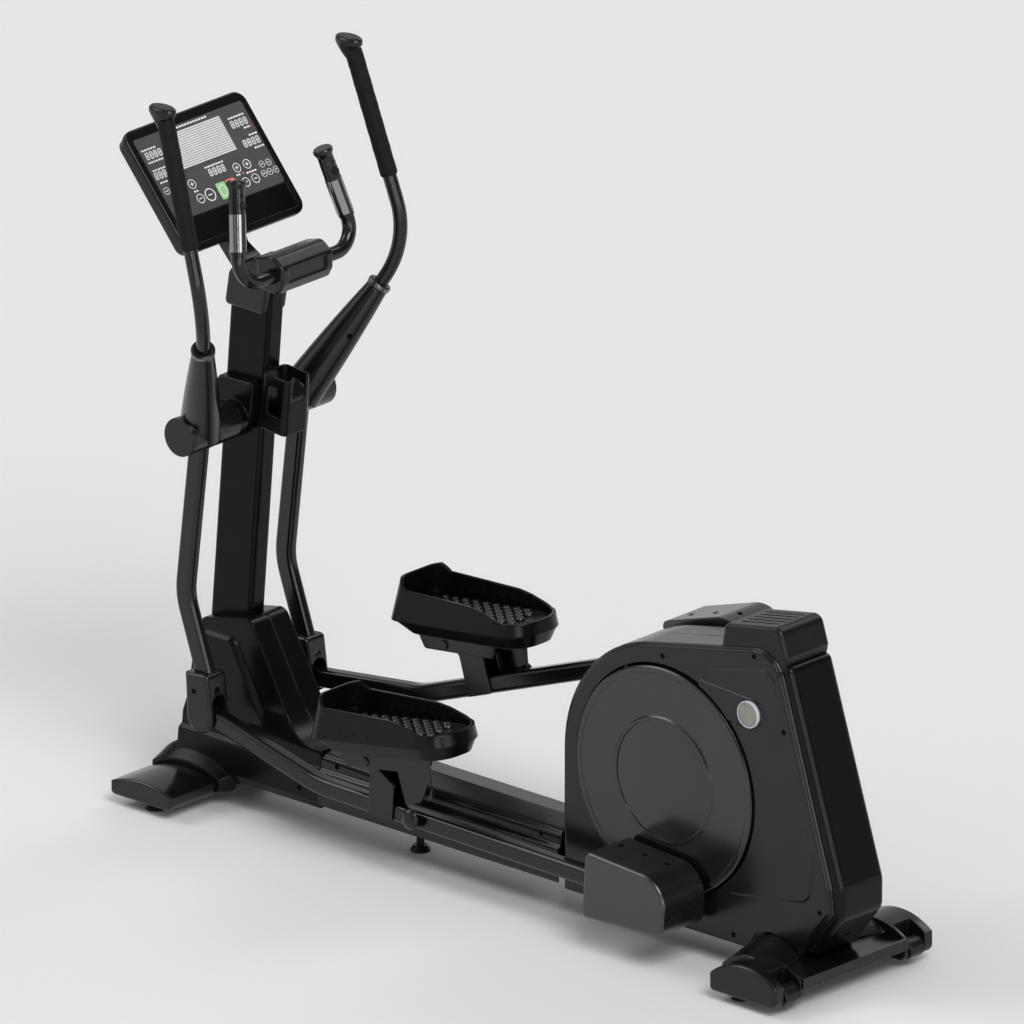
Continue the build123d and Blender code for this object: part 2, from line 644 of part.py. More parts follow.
def arm_shroud():
    base = Plane(
        origin=Vector(*pivot_point) - rise_axis * 6, x_dir=(rise_axis.Z, 0, -rise_axis.X),
        z_dir=rise_axis,
    )
    middle = base.offset(120) * Ellipse(43, 39)
    cone = loft([base * Ellipse(50, 46), middle, base.offset(shroud_length) * Circle(25)])
    hub = cross_rod(pivot_x, pivot_z, hub_radius, -hub_outer, -hub_inner)
    shroud = cone + fillet(hub.edges().filter_by(GeomType.CIRCLE).sort_by(Axis.Y)[-1], 6)
    shroud -= cross_rod(pivot_x, pivot_z, 30, -hub_outer - 1, -hub_inner + 1)
    start = Vector(*pivot_point)
    shroud -= along(start, rise_axis) * extrude(Circle(handle_radius), amount=shroud_length + 20)
    return shroud - arm_bar(RectangleRounded(arm_width, arm_depth, 11))


def arm_trim():
    collar = extrude(Circle(27) - Circle(handle_radius), amount=16)
    collar = chamfer(collar.edges().filter_by(GeomType.CIRCLE).sort_by(SortBy.RADIUS)[-2:], 2.5)
    ring = along(Vector(*pivot_point) + rise_axis * (shroud_length - 6), rise_axis) * collar
    lid = cross_rod(pivot_x, pivot_z, hub_radius, -hub_outer - hub_cap_thickness, -hub_outer)
    lid = fillet(lid.edges().sort_by(Axis.Y)[0], 3)
    top = Vector(*handle_top_left)
    head = extrude(Ellipse(36, 23), amount=15)
    head = Pos(top.X - 3, top.Y, top.Z - 9) * fillet(head.edges().sort_by(Axis.Z)[-1], 9)
    waist = Plane(
        origin=top - grip_line * cap_length, x_dir=(grip_line.Z, 0, -grip_line.X), z_dir=grip_line,
    )
    throat = Plane(origin=(top.X - 1, top.Y, top.Z - 26))
    brim = Plane(origin=(top.X - 3, top.Y, top.Z - 9))
    flare = loft([waist * Circle(foam_radius - 1), throat * Ellipse(24, 20), brim * Ellipse(36, 23)])
    socket = along(top - grip_line * 80, grip_line) * extrude(Circle(handle_radius), amount=80)
    return ring + lid + (head + flare - socket)


def joint_cover():
    spot = Pos(joint_x, 0, joint_z)
    plate = Rot(0, 0, 5) * make_face(Polyline((-38, 0), (38, 0), (33, 101), (-35, 101), close=True))
    shape = plate + Circle(joint_cover_radius)
    shape = fillet(shape.vertices().group_by(Axis.Y)[-1], 12)
    half = joint_cover_width / 2
    cover = spot * side_slab(shape, -arm_plane - half, -arm_plane + half)
    rims = cover.faces().sort_by(Axis.Y)
    cover = fillet(rims[0].edges() + rims[-1].edges(), 9)
    slot_half = link_width / 2 + 2.5
    arch_plane = Plane(origin=(joint_x - 31, -arm_plane, joint_z), x_dir=(0, 1, 0), z_dir=(1, 0, 0))
    slot = Pos(0, -20) * Rectangle(2 * slot_half, 100) + Pos(0, 30) * Circle(slot_half)
    cover -= extrude(arch_plane * slot, amount=140)
    cover -= cross_rod(joint_x, joint_z, joint_pin_radius, -arm_plane - half + 4, -arm_plane + half - 4)
    return cover - arm_bar(RectangleRounded(arm_width, arm_depth, 11))


def joint_pin():
    half = joint_cover_width / 2
    return cross_rod(joint_x, joint_z, joint_pin_radius, -arm_plane - half + 4, -arm_plane + half - 4)


# Pedal link, drawn about its joint with the link line along X
link_bend = (345.0, -58.0)
link_rear_drop = -6.0


def link_tube():
    path = ((0, 0, 4), (link_bend[0], 0, link_bend[1]), (link_length, 0, link_rear_drop))
    section = RectangleRounded(link_width, link_depth, 11)
    section -= RectangleRounded(link_width - 6, link_depth - 6, 8)
    bar = swept_bar(path, 260, section, x_dir=(0, 1, 0))
    bar -= Pos(link_length - 190, 0, -70) * Cylinder(4, 60)
    bar += cross_rod(0, 0, 23, -link_width / 2, link_width / 2)
    bar += cross_rod(link_length, 0, 30, -link_width / 2, link_width / 2)
    return bar - cross_rod(0, 0, joint_pin_radius + running_gap, -50, 50)


def crank_boss(side):
    """Bearing boss that faces the crank pin, from the link to the housing side."""
    inner = -side * (arm_plane - cover_inner)
    low, high = sorted((-side * link_width / 2, inner))
    boss = cross_rod(link_length, 0, 30, low, high)
    return boss - cross_rod(link_length, 0, crank_pin_radius + 1, low - 1, high + 1)


def crank_cover(side):
    """Hollow cover of the link's crank end."""
    side_view = outline(
        (link_length - 138, -78, 14), (link_length + 107, -52, 28), (link_length + 107, 80, 72),
        (link_length - 138, 80, 16),
    )
    low, high = sorted((-side * (arm_plane - cover_inner), side * (cover_outer - arm_plane)))
    shell = side_slab(side_view, low, high)
    outer_face = shell.faces().sort_by(Axis.Y)[-1 if side > 0 else 0]
    shell = fillet(outer_face.edges(), 8)
    shell -= side_slab(offset(side_view, -4), low + 4, high - 4)
    passage = Pos(link_length - 138, 0, -8) * Box(40, link_width + 1, link_depth + 10)
    shell -= passage
    near, far = sorted((0, -side * 100))
    return shell - cross_rod(link_length, 0, 30.3, near, far)


def pedal_stand():
    """Stand welded to the link: two cheeks, a front web and the pedal's pivot pin."""
    s, n = pedal_pivot_s, pedal_pivot_n
    leg_rear = stand_leg_s + stand_leg_width
    cheek = outline(
        (stand_leg_s, -69, 4), (leg_rear, -65, 4), (leg_rear, 22, 10), (s + 30, n - 50, 10),
        (s + 13, n + 12, 10), (s - 13, n + 12, 10), (s - 13, n - 14, 10), (stand_leg_s, 26, 12),
    )
    inner, outer = link_width / 2, link_width / 2 + 5
    stand = side_slab(cheek, -outer, -inner) + side_slab(cheek, inner, outer)
    stand += box(stand_leg_s + 14, stand_leg_s + 20, -inner, inner, -26, 40)
    return stand + cross_rod(s, n, pedal_pin_radius, -33, 33)


def tilt_knob(side):
    """Knob on the link's outer face."""
    root, shank, skirt, crown = link_width / 2, 12.5, 6.0, 10.5
    profile = Polyline(
        (0, crown), (0, -skirt - shank), (knob_shank_radius, -skirt - shank),
        (knob_shank_radius, -skirt), (knob_radius, -skirt), (knob_radius, 0),
    ) + dome(knob_radius, crown)
    knob = Rot(-90 * side, 0, 0) * revolve(Plane.XZ * make_face(profile), Axis.Z)
    return Pos(knob_s, side * (root + shank + skirt), knob_n) * knob


# Pedal, drawn under its pivot with the tread line along X
def tray_outline(front, rear, half_width, height):
    """Plan outline of the pedal at a height above the pivot."""
    middle = (front + rear) / 2
    face = Rectangle(rear - front, 2 * half_width)
    corners = face.vertices().sort_by(Axis.X)
    face = fillet(corners[2:], half_width - 12)
    face = fillet(face.vertices().sort_by(Axis.X)[:2], 44)
    return Pos(middle, 0, height) * face


def pedal_shell():
    seam, rim = 59.0, 156.0
    shoulder = tray_outline(pedal_front + 4, pedal_rear - 3, pedal_half_width - 3, seam)
    base = loft([tray_outline(-84, 272, 70, 30), shoulder])
    widest = tray_outline(pedal_front, pedal_rear, pedal_half_width, seam)
    walls = loft([widest, tray_outline(-92, 276, 80, rim)])
    hollow = loft([tray_outline(-112, 278, 79, tread_floor), tray_outline(-86, 271, 75, rim + 1)])
    above = Polyline(
        (-300, 158), (-80, 158), (-62, 134), (140, 120), (176, 112), (236, 90), (400, 88),
        (400, 300), (-300, 300), close=True,
    )
    under = loft([tray_outline(-74, 262, 60, 29), tray_outline(-112, 276, 76, tread_floor - 7)])
    under -= box(-100, 260, -46, -38, 0, 100) + box(-100, 260, 38, 46, 0, 100)
    tray = base + walls - hollow - under
    return tray - side_slab(make_face(above), -200, 200)


def pedal_tread():
    mat = extrude(tray_outline(-104, 262, 70, tread_floor), amount=2.5)
    blocks = Sketch()
    for row in range(8):
        for step in range(6):
            spot = Pos(-30 + 34 * row + 5 * (step % 2), -50 + 20 * step) * Rot(0, 0, 12)
            blocks += spot * Rectangle(16, 16)
    return mat + Pos(0, 0, tread_floor + 2.5) * extrude(blocks, amount=5, taper=24)


def pedal_channel(side):
    """Channel under the pedal that turns on the stand, with the slotted arm beside the link."""
    inner, outer = link_width / 2 + 6, link_width / 2 + 11
    wall = outline(
        (-76, 18, 6), (-60, -15, 10), (150, -14, 10), (156, 30, 0), (20, 30, 0),
        (14, pivot_drop + 13, 12), (-14, pivot_drop + 13, 12), (-20, 30, 0), (-76, 30, 0),
    )
    channel = side_slab(wall, -outer, -inner) + side_slab(wall, inner, outer)
    channel += box(-76, 200, -45, 45, 24, 30) - box(-38, 54, -inner, inner, 0, 60)
    arm = outline((98, -13, 6), (112, -92, 6), (196, -72, 6), (200, 30, 0), (98, 30, 0))
    across, down = knob_s - pedal_pivot_s, knob_n - pedal_pivot_n
    turn = degrees(atan2(down, across))
    slot = SlotArc(
        CenterArc((0, pivot_drop), hypot(across, down), turn - 17, 31.5), 2 * knob_shank_radius + 3,
    )
    low, high = sorted((side * inner, side * outer))
    channel += side_slab(arm - slot, low, high)
    channel += cross_rod(0, 0, 11, -outer - 4, -inner) + cross_rod(0, 0, 11, inner, outer + 4)
    return channel - cross_rod(0, pivot_drop, pedal_pin_radius + running_gap, -60, 60)


# Write every node
save("base_frame", base_frame())
save("front_stabilizer", front_stabilizer())
save("rear_end_caps", both_sides(rear_end_cap()))
feet = [(front_stabilizer_x, -205, 25), (front_stabilizer_x, 205, 25), (862, -205, 22), (862, 205, 22),
        (centre_foot_x, 0, beam_bottom)]
save("levelling_feet", Compound(children=[levelling_foot(*foot) for foot in feet]))
save("mast", mast())
cover_whole = base_cover()
save("base_cover_left", cover_whole & box(-1200, 0, -150, -0.2, 0, 600))
save("base_cover_right", cover_whole & box(-1200, 0, 0.2, 150, 0, 600))
save("beam_cover", beam_cover())
save("mast_top_cover", mast_top_cover())
save("pivot_axle", cross_rod(pivot_x, pivot_z, axle_radius, -hub_outer + 12, hub_outer - 12))
save("pivot_covers", both_sides(pivot_cover()))
save("bottle_holder", bottle_holder())
save("handlebar_tube", handlebar_tube())
save("handlebar_grips", both_sides(handlebar_grip()))
save("pulse_plates", both_sides(pulse_plate_pair()))
save("handlebar_cover", handlebar_cover())
save("button_left", button())
save("button_right", mirror(button(), about=Plane.XZ))
save("console_back", console_back())
save("console_bezel", console_bezel())
save("console_membrane", console_membrane())
save("console_neck", console_neck())
half = housing_half()
save("housing_left", half)
save("housing_right", mirror(half, about=Plane.XZ))
save("housing_rear_panel", housing_rear_panel())
save("step_pad", step_pad())
lens_face = -housing_half_width - pod_rise
save("housing_lenses", both_sides(cross_rod(lens_x, lens_z, lens_radius, lens_face - 1, lens_face + 6)))
save("drive_belt", drive_belt())
save("wheel_left", transport_wheel())
save("wheel_right", mirror(transport_wheel(), about=Plane.XZ))
save("crank_shaft", crank_shaft())
save("crank_pulley", wheel_rim(crank_x, crank_z, pulley_radius, -10, 10, 15))
left_disc = crank_disc()
half_turn = Pos(crank_x, 0, crank_z) * Rot(0, 180, 0) * Pos(-crank_x, 0, -crank_z)
right_disc = half_turn * mirror(left_disc, about=Plane.XZ)
save(
    "crank_discs",
    Compound(children=[left_disc, right_disc, disc_cap(), mirror(disc_cap(), about=Plane.XZ)]),
)
save("flywheel", flywheel())

arm_pieces = {
    "handle_tube": handle_tube(),
    "foam_grip": foam_grip(),
    "arm_shroud": arm_shroud(),
    "arm_trim": arm_trim(),
    "lower_arm": Compound(children=[lower_arm(), joint_pin()]),
    "joint_cover": joint_cover(),
}
for name, piece in arm_pieces.items():
    save(f"{name}_left", piece)
    save(f"{name}_right", mirror(piece, about=Plane.XZ))

for side, word in ((-1, "left"), (1, "right")):
    save(f"link_tube_{word}", link_place(side) * (link_tube() + crank_boss(side)))
    save(f"crank_cover_{word}", link_place(side) * crank_cover(side))
    save(f"pedal_stand_{word}", link_place(side) * pedal_stand())
    save(f"tilt_knob_{word}", link_place(side) * tilt_knob(side))
    save(f"pedal_shell_{word}", pedal_place(side) * pedal_shell())
    save(f"pedal_tread_{word}", pedal_place(side) * pedal_tread())
    save(f"pedal_channel_{word}", pedal_place(side) * pedal_channel(side))
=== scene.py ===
"""Looks of a rear-drive elliptical trainer, built around its CAD frame."""

import json
import math

import bmesh
import bpy
from mathutils import Matrix, Vector
from mathutils.bvhtree import BVHTree


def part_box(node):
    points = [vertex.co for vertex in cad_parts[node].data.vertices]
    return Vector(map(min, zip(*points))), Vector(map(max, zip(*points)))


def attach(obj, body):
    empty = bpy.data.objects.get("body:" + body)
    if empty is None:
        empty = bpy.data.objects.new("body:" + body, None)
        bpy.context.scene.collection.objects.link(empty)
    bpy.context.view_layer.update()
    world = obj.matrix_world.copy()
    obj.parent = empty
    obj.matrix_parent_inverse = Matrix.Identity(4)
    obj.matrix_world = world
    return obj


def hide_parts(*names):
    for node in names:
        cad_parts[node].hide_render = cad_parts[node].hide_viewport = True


bl_info = {
    "name": "Elliptical Trainer Looks",
    "version": (1, 0, 0),
    "blender": (4, 5, 0),
    "location": "View3D > Sidebar > Trainer",
    "description": "Finishes, fasteners, foam, treads and console print of an elliptical trainer",
    "category": "Object",
}

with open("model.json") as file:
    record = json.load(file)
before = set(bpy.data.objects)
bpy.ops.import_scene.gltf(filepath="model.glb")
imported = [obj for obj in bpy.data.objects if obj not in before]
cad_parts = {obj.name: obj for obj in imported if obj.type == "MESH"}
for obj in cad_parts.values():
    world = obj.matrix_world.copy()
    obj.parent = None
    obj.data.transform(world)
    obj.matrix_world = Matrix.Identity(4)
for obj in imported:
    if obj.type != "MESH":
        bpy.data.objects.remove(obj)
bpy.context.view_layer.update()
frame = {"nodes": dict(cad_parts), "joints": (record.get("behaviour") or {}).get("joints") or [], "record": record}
SIDES = ((-1, "left"), (1, "right"))

# Places in the CAD frame, in metres; a point is on the right side and is mirrored for the left
ARM_PIVOT = (-0.815, 0.163, 0.912)
HANDLE_BEND = (-0.645, 0.336, 1.260)
HANDLE_TOP = (-0.796, 0.305, 1.716)
LENS_CENTRE = (0.778, 0.0875, 0.621)
COLLAR_REACH = 0.302
FOAM_FOOT_Z = 1.412
FOAM_BORE = 0.0162
END_CAP_ROOM = 0.0245
FOAM_STEPS = 40
OUTSIDE = 0.6

# Pedal: tilt in degrees, then the tread mat and its diagonal ribs, drawn above the tilt axis; the ribs keep
# inside a range of x and inside two round rear corners, given as x, y and radius
PEDAL_TILT = {"left": 9.4, "right": 6.8}
TREAD_LIFT = 0.022
MAT_DEPTH, MAT_BEVEL = 0.0025, 0.0006
MAT_CORNERS = ((0.204, 0.012, 0.058, 0), (-0.060, 0.026, 0.044, 90), (-0.060, -0.026, 0.044, 180),
               (0.204, -0.012, 0.058, 270))
RIB_PROFILE = ((0.0, -0.25), (1.0, -0.25), (1.0, 0.1), (0.95, 0.5), (0.8, 0.84), (0.56, 1.0), (0.0, 1.0))
RIB_LENGTH, RIB_WIDTH, RIB_TURN = 0.0116, 0.0106, -42.0
FIRST_X, FIRST_Y, ROW_PITCH, STEP_X, STEP_Y = -0.034, 0.054, 0.0315, 0.0195, 0.018
RIB_RANGE = (-0.088, 0.222)
RIB_CORNER = (0.190, 0.020, 0.036)

# Tick marks: shares of the pedal wall's length and height, and how the row slopes
MARK_SHARES = (0.27, 0.37, 0.47)
MARK_HEIGHT, MARK_SLOPE = 0.55, 0.02

# Screws: (x, z) on the sides of the covers, share of the crank cover's length, start of a line that
# meets the shroud or the rear panel, turned profile of a head
HOUSING_SCREWS = ((0.508, 0.688), (0.785, 0.757), (0.877, 0.601), (0.984, 0.199), (0.723, 0.082))
BASE_SCREWS = ((-0.743, 0.352), (-0.585, 0.100))
BEAM_SCREWS = ((0.136, 0.172), (-0.482, 0.172))
JOINT_SCREW = (-0.806, 0.302)
CRANK_SCREWS = (0.16, 0.44, 0.72)
SHROUD_SCREW = (-0.55, 0.215, 1.055)
REAR_SCREW = (1.3, -0.002, 0.132)
SCREW_PROFILE = ((0.0, -0.4), (1.0, -0.4), (1.0, 0.06), (0.9, 0.14), (0.52, 0.15), (0.48, 0.04),
                 (0.0, 0.04))
NO_STRETCH = (1.0, 1.0, 1.0)

# Turned trims: (radius, height) in metres
BAND_PROFILE = ((0.0271, 0.0), (0.0276, 0.0012), (0.0276, 0.0088), (0.0271, 0.0100), (0.0262, 0.0100),
                (0.0262, 0.0))
RIM_PROFILE = ((0.0288, 0.0), (0.0316, 0.0), (0.0316, 0.0078), (0.0308, 0.0091), (0.0298, 0.0096),
               (0.0288, 0.0088))
FRONT_PROFILE = ((0.0, 0.001), (0.0290, 0.001), (0.0290, 0.0086), (0.0220, 0.0091), (0.0, 0.0094))

# Console face: its axes and centre, then the places of the print in millimetres from that centre; a
# size is a stretch of a unit shape, in metres
FACE_UP = Vector((-0.651, 0.0, 0.759)).normalized()
FACE_OUT = Vector((0.759, 0.0, 0.651)).normalized()
FACE_CENTRE = Vector((-0.923, 0.0, 1.452))
INK_DEPTH = 0.0003
STRIPE_FOOT, STRIPE_SPAN, STRIPE_SIZE = 32.0, 81.0, (0.187, 0.0041, 1.0)
DIGIT_PITCH, DIGIT_SLANT, STROKE_SIZE = 13.6, 0.06, (0.0074, 0.0030, 1.0)
DIGIT_SEGMENTS = ((0, 7.6, 0), (0, 0, 0), (0, -7.6, 0), (-3.7, 3.8, 90), (3.7, 3.8, 90), (-3.7, -3.8, 90),
                  (3.7, -3.8, 90))
NUMBER_PLACES = ((139, 84.5), (145, 34.5), (-139, 86), (-144, 36.5), (8.5, 1.0))
CAPTIONS = ((139, 100.5, 52), (153, 69, 20), (160, 50, 28), (159, 18, 32), (-146, 101, 48), (-143, 70, 50),
            (-147, 50, 42), (-153, 18.5, 26), (8, 15.7, 62), (0, 124, 120), (100, -29, 34), (60, -26, 14),
            (-79, -27, 15))
CAPTION_PITCH, CAPTION_FILL, CAPTION_HEIGHT = 9, 0.72, 0.0040
KEYS = ((66, -9.5, 11.5), (99, -9.5, 11.5), (70, -47.5, 11.5), (101.5, -47, 11.5), (-80, -8.5, 11.5),
        (-77.5, -46, 11.5), (-45.5, -45.5, 15.5), (139, -22, 8), (160, -23, 8), (131.5, -44, 8),
        (150, -44, 8), (170, -44, 8), (-158.5, -3, 9))
RING_BORE, LOOP_BORE = 0.85, 0.87
SIGN_SHARE, SIGN_HEIGHT = 0.85, 0.0022
START_X, STOP_X, START_Y = -4, 28, -47
START_SIZE, LOOP_SIZE = (0.029, 0.040, 1.0), (0.0115, 0.0145, 1.0)
HEART_DOTS, DOT_SIZE = ((165.5, 69), (75.5, -25.5)), (0.0042, 0.0042, 1.0)

# Stage: soft boxes as direction, inner and outer angle, level; lamps as name, direction, spread, power
SOFT_BOXES = (((-0.64, 0.69, 0.34), 18, 60, 0.46), ((-0.64, -0.35, 0.69), 10, 22, 3.0),
              ((0.0, 0.80, 0.60), 6, 16, 3.0), ((-0.4, -0.9, 0.15), 15, 55, 0.55),
              ((0.97, -0.15, 0.16), 8, 20, 3.0), ((0.1, 0.0, 1.0), 15, 60, 0.25))
AMBIENT, HORIZON = 0.1, 0.78
LAMPS = (("key", (0.60, -0.30, 0.74), 30, 1.75), ("low", (0.74, -0.66, 0.12), 20, 0.4))
VIEW_CENTRE = Vector((-0.0232, 0.0, 0.8726))
VIEW_RIGHT = Vector((0.7342, 0.6790, 0.0)).normalized()
VIEW_BACK = Vector((0.6360, -0.6877, 0.3504)).normalized()
VIEW_WIDTH = 2.2756
LAMP_DISTANCE, VIEW_DISTANCE = 6.0, 9.0


# Values that a user would change
class TrainerSizes(bpy.types.PropertyGroup):
    """Sizes of the dressed details."""

    foam_radius: bpy.props.FloatProperty(
        name="Foam radius", description="Outer radius of the handle foam", default=0.0197, unit="LENGTH")
    screw_radius: bpy.props.FloatProperty(
        name="Screw radius", description="Radius of a cover screw's head", default=0.0064, unit="LENGTH")
    rib_height: bpy.props.FloatProperty(
        name="Tread rib height", description="Height of the tread's ribs", default=0.0092, unit="LENGTH")
    stripe_rows: bpy.props.IntProperty(
        name="Display rows", description="Pale rows in the matrix display", default=16)


class TrainerColours(bpy.types.PropertyGroup):
    """Main colours of the machine, as sRGB hex."""

    moulding: bpy.props.StringProperty(
        name="Mouldings", description="Satin black covers", default="#131313")
    coating: bpy.props.StringProperty(
        name="Coating", description="Powder coat on steel", default="#101011")
    panel: bpy.props.StringProperty(
        name="Panel", description="Printed console panel", default="#4b4b4b")
    start_key: bpy.props.StringProperty(name="Start key", description="Green key", default="#a2d396")
    stop_key: bpy.props.StringProperty(name="Stop key", description="Red key", default="#ee8680")
    floor: bpy.props.StringProperty(name="Floor", description="Studio floor", default="#e3e3e2")


def sizes():
    """Sizes set in the scene."""
    return bpy.context.scene.trainer_sizes


def colours():
    """Colours set in the scene."""
    return bpy.context.scene.trainer_colours


# Materials
def linear(code):
    """Linear colour of an sRGB hex code."""
    parts = [int(code[i:i + 2], 16) / 255 for i in (1, 3, 5)]
    return tuple(c / 12.92 if c <= 0.04045 else ((c + 0.055) / 1.055) ** 2.4 for c in parts) + (1.0,)


def add(tree, kind, settings=None, values=None, links=None):
    """Add one node with its settings, socket values and incoming links."""
    node = tree.nodes.new(kind)
    for key, value in (settings or {}).items():
        setattr(node, key, value)
    for key, value in (values or {}).items():
        node.inputs[key].default_value = value
    for key, source in (links or {}).items():
        tree.links.new(source, node.inputs[key])
    return node


def empty_material(name):
    """New material with an empty node tree."""
    material = bpy.data.materials.new(name)
    material.use_nodes = True
    material.node_tree.nodes.clear()
    return material


def finish(name, dark, light, grain_mm, rough, bump_mm, cloud_mm=60.0, shader=None, stretch=NO_STRETCH,
           edge_mm=0.0):
    """A surface with a fine grain, a slow colour drift and a roughness that follows the grain."""
    if name in bpy.data.materials:
        return bpy.data.materials[name]
    material = empty_material(name)
    tree = material.node_tree
    place = add(tree, "ShaderNodeTexCoord").outputs["Object"]
    drawn = add(tree, "ShaderNodeMapping", values={"Scale": stretch}, links={"Vector": place})
    cloud = add(tree, "ShaderNodeTexNoise", values={"Scale": 1000.0 / cloud_mm, "Detail": 3.0},
                links={"Vector": place})
    grain = add(tree, "ShaderNodeTexNoise",
                values={"Scale": 1000.0 / grain_mm, "Detail": 2.0, "Roughness": 0.6},
                links={"Vector": drawn.outputs["Vector"]})
    blend = add(tree, "ShaderNodeMath", {"operation": "MULTIPLY"},
                links={0: cloud.outputs["Fac"], 1: grain.outputs["Fac"]})
    tint = add(tree, "ShaderNodeValToRGB", links={"Fac": blend.outputs["Value"]})
    for stop, position, colour in zip(tint.color_ramp.elements, (0.12, 0.42), (dark, light)):
        stop.position = position
        stop.color = linear(colour)
    gloss = add(tree, "ShaderNodeMapRange",
                values={"From Min": 0.3, "From Max": 0.7, "To Min": rough[0], "To Max": rough[1]},
                links={"Value": grain.outputs["Fac"]})
    relief = add(tree, "ShaderNodeBump", values={"Strength": 0.35, "Distance": bump_mm / 1000.0},
                 links={"Height": grain.outputs["Fac"]})
    if edge_mm:
        edges = add(tree, "ShaderNodeBevel", {"samples": 8}, {"Radius": edge_mm / 1000.0})
        tree.links.new(edges.outputs["Normal"], relief.inputs["Normal"])
    skin = add(tree, "ShaderNodeBsdfPrincipled", values=shader,
               links={"Base Color": tint.outputs["Color"], "Roughness": gloss.outputs["Result"],
                      "Normal": relief.outputs["Normal"]})
    add(tree, "ShaderNodeOutputMaterial", links={"Surface": skin.outputs["BSDF"]})
    return material


def moulded_abs():
    # ABS from a spark-eroded mould: deep satin black, very fine grain, broad soft highlights, eased edges
    return finish("moulded_abs", "#0b0b0b", colours().moulding, 1.6, (0.21, 0.25), 0.006, edge_mm=5.0,
                  shader={"IOR": 1.5, "Specular IOR Level": 0.4})


def cover_abs():
    # ABS of the front and rear covers and pedals: the same grain, a drier skin that stays darker
    return finish("cover_abs", "#080808", "#0e0e0e", 1.6, (0.20, 0.24), 0.006, edge_mm=6.0,
                  shader={"IOR": 1.45, "Specular IOR Level": 0.2})


def crank_abs():
    # ABS of the crank covers: polished by hand contact and cleaning, the brightest of the black mouldings
    return finish("crank_abs", "#101010", "#181818", 1.8, (0.24, 0.28), 0.006, edge_mm=5.0,
                  shader={"IOR": 1.58, "Specular IOR Level": 0.72})


def disc_abs():
    # ABS of the turning discs: smoother than the covers, so the highlight is tighter and brighter
    return finish("disc_abs", "#0c0c0c", "#131313", 3.0, (0.21, 0.23), 0.001, edge_mm=1.6,
                  shader={"IOR": 1.54, "Specular IOR Level": 0.65})


def powder_coat():
    # Polyester powder on steel: near black, orange peel about 2 mm across, clearer gloss than the plastic
    return finish("powder_coat", "#080808", colours().coating, 2.2, (0.16, 0.20), 0.008, edge_mm=2.5,
                  shader={"IOR": 1.5, "Specular IOR Level": 0.45})


def mast_coat():
    # Fine-texture powder on the mast: the same black, with a drier skin that keeps the flat sides dark
    return finish("mast_coat", "#060606", "#0a0a0a", 2.0, (0.20, 0.24), 0.008, edge_mm=6.0,
                  shader={"IOR": 1.45, "Specular IOR Level": 0.16})


def closed_cell_foam():
    # Closed-cell NBR foam: deep matt black, half-millimetre cells drawn at 1.2 mm so that they show
    return finish("closed_cell_foam", "#090909", "#141414", 1.2, (0.62, 0.8), 0.3, 18.0,
                  {"IOR": 1.45, "Specular IOR Level": 0.25})


def soft_rubber():
    # Moulded rubber: matt black with a dry sheen
    return finish("soft_rubber", "#0a0a0a", "#121212", 1.4, (0.30, 0.38), 0.04, 25.0,
                  {"IOR": 1.5, "Specular IOR Level": 0.3})


def dipped_vinyl():
    # Vinyl grips: deep black, slick, with small clear highlights on the rounded ends
    return finish("dipped_vinyl", "#070707", "#0d0d0d", 2.5, (0.14, 0.20), 0.008, 40.0, edge_mm=3.0,
                  shader={"IOR": 1.52, "Specular IOR Level": 0.45})


def tread_rubber():
    # Tread rubber worn by shoes: charcoal with a polished sheen on top of the ribs
    return finish("tread_rubber", "#0e0e0e", "#171717", 1.4, (0.24, 0.31), 0.03, 25.0,
                  {"IOR": 1.5, "Specular IOR Level": 0.75})


def gloss_abs():
    # Polished ABS bezel: black with a clear highlight
    return finish("gloss_abs", "#070707", "#0c0c0c", 6.0, (0.16, 0.22), 0.01, edge_mm=1.5,
                  shader={"IOR": 1.5, "Specular IOR Level": 0.35})


def printed_panel():
    # Screen-printed polycarbonate film: mid grey, smooth, with a faint velvet tooth
    return finish("printed_panel", "#454546", colours().panel, 0.9, (0.36, 0.44), 0.012,
                  shader={"IOR": 1.5, "Specular IOR Level": 0.3})


def brushed_steel():
    # Stainless plate brushed along its length: mid-bright metal with fine streaks
    return finish("brushed_steel", "#8a8b8d", "#a3a4a6", 0.7, (0.12, 0.17), 0.002, 200.0,
                  {"Metallic": 1.0}, (1.0, 1.0, 0.05))


def turned_steel():
    # Zinc-plated turned steel: bright, slightly hazy
    return finish("turned_steel", "#8d8e90", "#b4b5b7", 1.0, (0.28, 0.4), 0.02, 20.0, {"Metallic": 1.0})


def smoked_chrome():
    # Dark chrome trim: half-bright metal with a clear reflection
    return finish("smoked_chrome", "#68696b", "#7d7e80", 1.0, (0.16, 0.24), 0.01, 20.0, {"Metallic": 1.0})


def cast_iron():
    # Machined grey iron: dark metal with a granular skin
    return finish("cast_iron", "#3a3a3b", "#55565a", 2.0, (0.4, 0.55), 0.1, 40.0, {"Metallic": 1.0})


def frosted_lens():
    # Frosted polycarbonate lens: mid grey, soft gloss
    return finish("frosted_lens", "#74766f", "#8c8e86", 2.5, (0.16, 0.24), 0.02, shader={"IOR": 1.58})


def lens_edge_painted_highlight():
    # Clear polycarbonate at the lens edge, painted pale and cool all round: a painted highlight of the wall that
    # turns to the light
    return finish("lens_edge_painted_highlight", "#b4b4be", "#cfcfd8", 2.5, (0.14, 0.2), 0.01, shader={"IOR": 1.58})


def black_oxide_and_hole_shade():
    # Black-oxide screw steel made dead black with almost no sheen: painted shade of the screw holes
    return finish("black_oxide_and_hole_shade", "#020202", "#050505", 0.9, (0.6, 0.7), 0.03,
                  shader={"IOR": 1.5, "Specular IOR Level": 0.06})


def white_ink():
    # Screen-printing ink: pale, matt, slightly uneven cover
    return finish("white_ink", "#e2e2e0", "#f2f2f0", 1.0, (0.5, 0.6), 0.01, shader={"IOR": 1.5})


